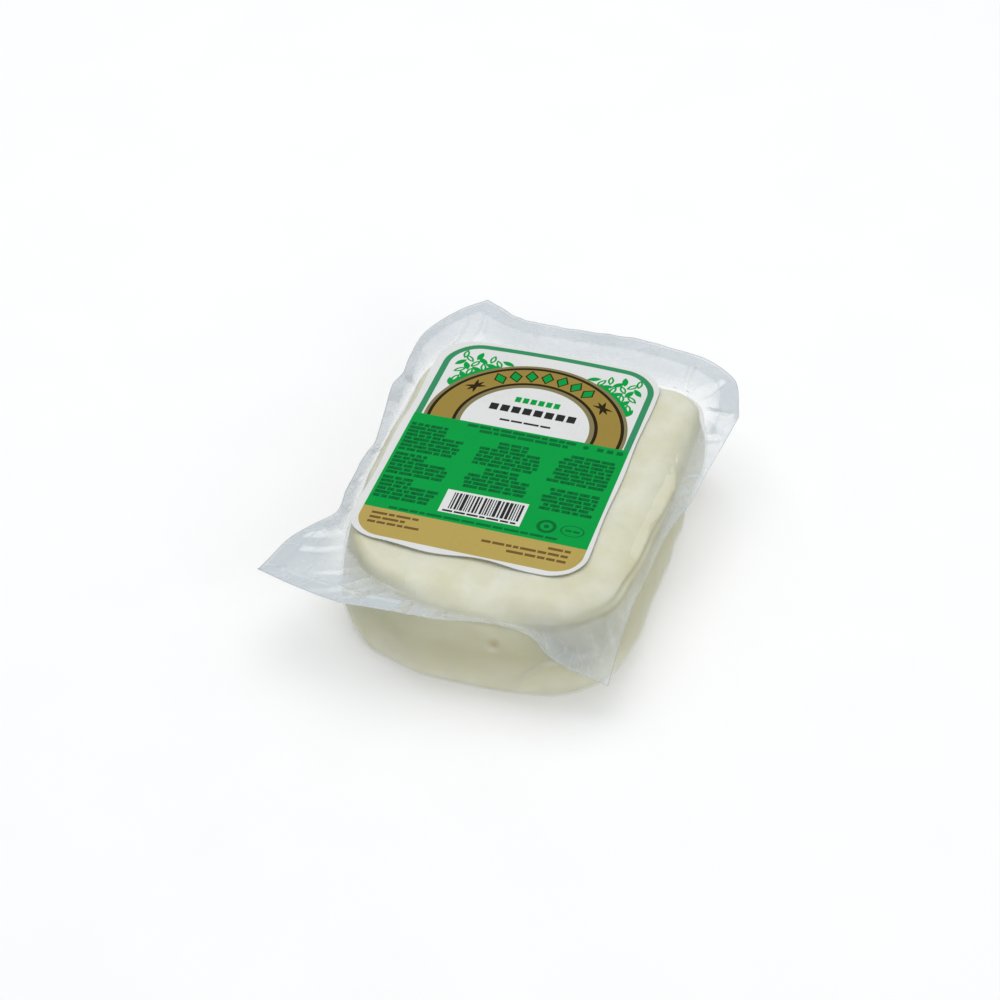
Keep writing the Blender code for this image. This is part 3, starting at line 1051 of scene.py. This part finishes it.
# Cheese: its two main colours, and those of patches, stained hollows and the walls' painted shade
CHEESE_PALE = (0.70, 0.69, 0.56)
CHEESE_CREAM = (0.64, 0.62, 0.43)
CHEESE_DEEP = (0.58, 0.55, 0.36)
CHEESE_SPOT = (0.50, 0.36, 0.18)
CHEESE_PAINTED_WALL_SHADE = (0.50, 0.48, 0.29)
PATCH_SHARE, STAIN_SHARE = 0.35, 0.4

# The walls' painted shade, a darker colour that stands in for the shadow under the flange: heights over which
# it comes up, and its share at the higher and at the lower one
WALL_SHADE_LOW, WALL_SHADE_HIGH, WALL_SHADE_TOP_SHARE, WALL_SHADE_FOOT_SHARE = 5.0, 15.0, 1.0, 0.0

# Film: colour, haze for one unit of cloud, streaks, share of glancing light, and the most that it hides
FILM_TINT = (0.68, 0.72, 0.75)
FILM_HAZE = 0.29
STREAK_WIDTH, STREAK_SHARE = 0.016, 0.10
GLANCE_SHARE, MOST_HIDDEN = 0.45, 0.9

# Fine ribs at the front right corner's hanging flange: the wave texture's scale, position and reach
RIBS_PER_METRE = 160.0
RIB_PLACE, RIB_REACH = 0.99, 0.1


def painted_wall_shade(tree):
    """How far the walls take their painted shade, a darker colour that stands in for the flange's shadow:
    fully on upright walls under the flange, not at all by the floor.
    """
    facing = part_of(tree, tree.nodes.new("ShaderNodeNewGeometry").outputs["Normal"], "Z")
    height = part_of(tree, object_coordinates(tree), "Z")
    upright = ranged(tree, facing, 0.2, 0.75, 1.0, 0.0)
    by_height = ranged(tree, height, WALL_SHADE_LOW * MM, WALL_SHADE_HIGH * MM, WALL_SHADE_FOOT_SHARE, WALL_SHADE_TOP_SHARE)
    return worked(tree, "MULTIPLY", upright, by_height)


def given(tree, name):
    """The number that a mesh holds for each point under a name."""
    node = tree.nodes.new("ShaderNodeAttribute")
    node.attribute_name = name
    return node.outputs["Fac"]


def part_of(tree, vector, axis):
    """One coordinate of a vector socket."""
    node = tree.nodes.new("ShaderNodeSeparateXYZ")
    link(tree, vector, node.inputs["Vector"])
    return node.outputs[axis]


def cheese_material():
    material, tree, shader = new_material("cheese_cream")
    broad = noise_of(tree, 13, 3)
    fine = noise_of(tree, 4, 4, 0.6)
    cream = mixed(tree, ranged(tree, broad, 0.35, 0.65, 0.0, 1.0), CHEESE_PALE, CHEESE_CREAM)
    patches = ranged(tree, noise_of(tree, 5.5, 3, 0.6), 0.45, 0.75, 0.0, PATCH_SHARE)
    stained = ranged(tree, given(tree, "stain"), 0.1, 0.9, 0.0, STAIN_SHARE)
    # Upright walls take a painted shade: darker under the flange, lighter towards the floor
    body = mixed(tree, painted_wall_shade(tree), mixed(tree, patches, cream, CHEESE_DEEP), CHEESE_PAINTED_WALL_SHADE)
    tinted = mixed(tree, stained, body, CHEESE_SPOT)
    link(tree, tinted, shader.inputs["Base Color"])
    link(tree, ranged(tree, fine, 0.3, 0.7, 0.42, 0.6), shader.inputs["Roughness"])
    shader.inputs["Subsurface Weight"].default_value = 0.35
    shader.inputs["Subsurface Radius"].default_value = (1.0, 0.8, 0.45)
    shader.inputs["Subsurface Scale"].default_value = 3.0 * MM
    bumped(tree, shader, fine, 0.25, 0.5)
    return material


def film_material():
    """Clear film: mostly see-through, cloudier where it is loose or doubled, with faint curving streaks."""
    material, tree, shader = new_material("film_clear")
    cloud = given(tree, "cloud")
    patches = ranged(tree, noise_of(tree, 14, 2), 0.3, 0.7, 0.75, 1.25)
    haze = worked(tree, "MULTIPLY", worked(tree, "MULTIPLY", cloud, FILM_HAZE), patches)
    curving = noise_of(tree, 11, 2, 0.4, (1, 1, 0.7))
    bend = worked(tree, "ABSOLUTE", worked(tree, "SUBTRACT", curving, 0.5), 0.0)
    streaks = ranged(tree, bend, 0.0, STREAK_WIDTH, STREAK_SHARE, 0.0)
    glance = tree.nodes.new("ShaderNodeLayerWeight")
    glance.inputs["Blend"].default_value = 0.25
    rim = worked(tree, "MULTIPLY", glance.outputs["Fresnel"], GLANCE_SHARE)
    shown = worked(tree, "MULTIPLY", worked(tree, "ADD", streaks, rim), cloud)
    hidden = worked(tree, "MINIMUM", worked(tree, "ADD", haze, shown), MOST_HIDDEN)
    link(tree, hidden, shader.inputs["Alpha"])
    shader.inputs["Base Color"].default_value = (*FILM_TINT, 1.0)
    shader.inputs["Specular IOR Level"].default_value = 0.9
    soft = noise_of(tree, 6, 2)
    link(tree, ranged(tree, soft, 0.3, 0.7, 0.16, 0.32), shader.inputs["Roughness"])
    ribs = worked(tree, "MULTIPLY", rib_waves(tree), given(tree, "ribbed"))
    bumped(tree, shader, worked(tree, "ADD", soft, ribs), 0.12, 0.4)
    return material


def rib_waves(tree):
    """Level ribs, one above the other."""
    node = tree.nodes.new("ShaderNodeTexWave")
    node.bands_direction = "Z"
    node.inputs["Scale"].default_value = RIBS_PER_METRE
    node.inputs["Distortion"].default_value = 0.6
    link(tree, object_coordinates(tree), node.inputs["Vector"])
    return node.outputs["Fac"]


INKS = {
    "label_paper_white": (0.69, 0.70, 0.68),
    "print_green": (0.0, 0.31, 0.05),
    "print_line_green": (0.035, 0.25, 0.11),
    "print_dark_green": (0.0, 0.14, 0.03),
    "print_gold": (0.30, 0.21, 0.045),
    "print_gold_light": (0.44, 0.33, 0.09),
    "print_tan": (0.22, 0.185, 0.085),
    "print_brown": (0.022, 0.014, 0.003),
    "print_deep_green": (0.0, 0.09, 0.02),
    "print_brown_text": (0.16, 0.09, 0.025),
    "print_black": (0.02, 0.02, 0.02),
}


def ink_material(name, colour):
    """Coated paper or ink on it: faint fibres, faint cloudiness and a soft gloss."""
    material, tree, shader = new_material(name)
    fibres = noise_of(tree, 0.7, 3, 0.6, (1, 0.35, 1))
    clouds = noise_of(tree, 9, 2)
    by_fibre = ranged(tree, fibres, 0.25, 0.75, 0.95, 1.05)
    by_cloud = ranged(tree, clouds, 0.3, 0.7, 0.96, 1.04)
    shade = ranged(tree, worked(tree, "MULTIPLY", by_fibre, by_cloud), 0.5, 1.0, 0.0, 1.0)
    deep = tuple(channel * 0.6 for channel in colour)
    link(tree, mixed(tree, shade, deep, colour), shader.inputs["Base Color"])
    link(tree, ranged(tree, clouds, 0.3, 0.7, 0.36, 0.5), shader.inputs["Roughness"])
    shader.inputs["Specular IOR Level"].default_value = 0.04
    bumped(tree, shader, fibres, 0.03, 0.35)
    return material


# Floor and light: the floor's two greys, its glow and half size, the sky, and each lamp's place, target, size
# and watts
FLOOR_DARK, FLOOR_PALE, FLOOR_GLOW, FLOOR_HALF = (0.70, 0.70, 0.70), (0.73, 0.73, 0.73), 0.24, 6.0
SKY_COLOUR, SKY_STRENGTH = (0.95, 0.98, 1.0), 0.56
OVERHEAD_LAMP = ((-0.15, 0.25, 1.1), (0, 0, 0), 1.0, 7.1)
SIDE_LAMP = ((0.8, -0.8, 0.6), (0, 0, 0.02), 0.6, 3.0)


def floor_material():
    material, tree, shader = new_material("floor_pale")
    grain = noise_of(tree, 30, 2)
    link(tree, mixed(tree, grain, FLOOR_DARK, FLOOR_PALE), shader.inputs["Base Color"])
    shader.inputs["Roughness"].default_value = 0.9
    shader.inputs["Emission Color"].default_value = (1.0, 1.0, 1.0, 1.0)
    shader.inputs["Emission Strength"].default_value = FLOOR_GLOW
    return material


def make_floor():
    corners = [Vector((x, y, 0)) * FLOOR_HALF for x, y in box_outline(-1, 1, -1, 1)]
    mesh = bpy.data.meshes.new("floor")
    mesh.from_pydata(corners, [], [(0, 1, 2, 3)])
    floor = stood("floor", mesh)
    floor.data.materials.append(floor_material())


def make_area_light(name, location, target, size, watts):
    lamp = bpy.data.lights.new(name, "AREA")
    lamp.shape = "SQUARE"
    lamp.size = size
    lamp.energy = watts
    item = stood(name, lamp)
    item.location = location
    item.rotation_euler = (Vector(target) - Vector(location)).to_track_quat("-Z", "Y").to_euler()


def make_light():
    world = bpy.data.worlds.new("studio")
    world.use_nodes = True
    background = world.node_tree.nodes["Background"]
    background.inputs["Color"].default_value = (*SKY_COLOUR, 1.0)
    background.inputs["Strength"].default_value = SKY_STRENGTH
    bpy.context.scene.world = world
    make_area_light("overhead", *OVERHEAD_LAMP)
    make_area_light("side", *SIDE_LAMP)


# The photograph's camera: its angles, where it stands and its lens
CAMERA_TURN, CAMERA_RISE = 17.04, 39.15
CAMERA_PLACE = (0.14512, -0.49046, 0.42887)
LENS, SENSOR = 90.43, 36.0


def make_camera():
    turn, rise = math.radians(CAMERA_TURN), math.radians(CAMERA_RISE)
    back = Vector((math.sin(turn) * math.cos(rise), -math.cos(turn) * math.cos(rise), math.sin(rise)))
    right = Vector((math.cos(turn), math.sin(turn), 0))
    up = back.cross(right)
    lens = bpy.data.cameras.new("photo_view")
    lens.lens = LENS
    lens.sensor_width = SENSOR
    lens.clip_start = 0.01
    camera = stood("photo_view", lens)
    axes = Matrix((right, up, back)).transposed()
    camera.matrix_world = Matrix.Translation(CAMERA_PLACE) @ axes.to_4x4()
    bpy.context.scene.camera = camera


PLACE = pack_place()

bpy.context.scene.view_settings.view_transform = "Standard"
make_camera()
make_light()
make_floor()

cheese = make_cheese(cheese_material())
film = make_film(film_material())
label = make_label({name: ink_material(name, colour) for name, colour in INKS.items()})

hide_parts("halloumi_pack")
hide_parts("halloumi_pack")
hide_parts("label")
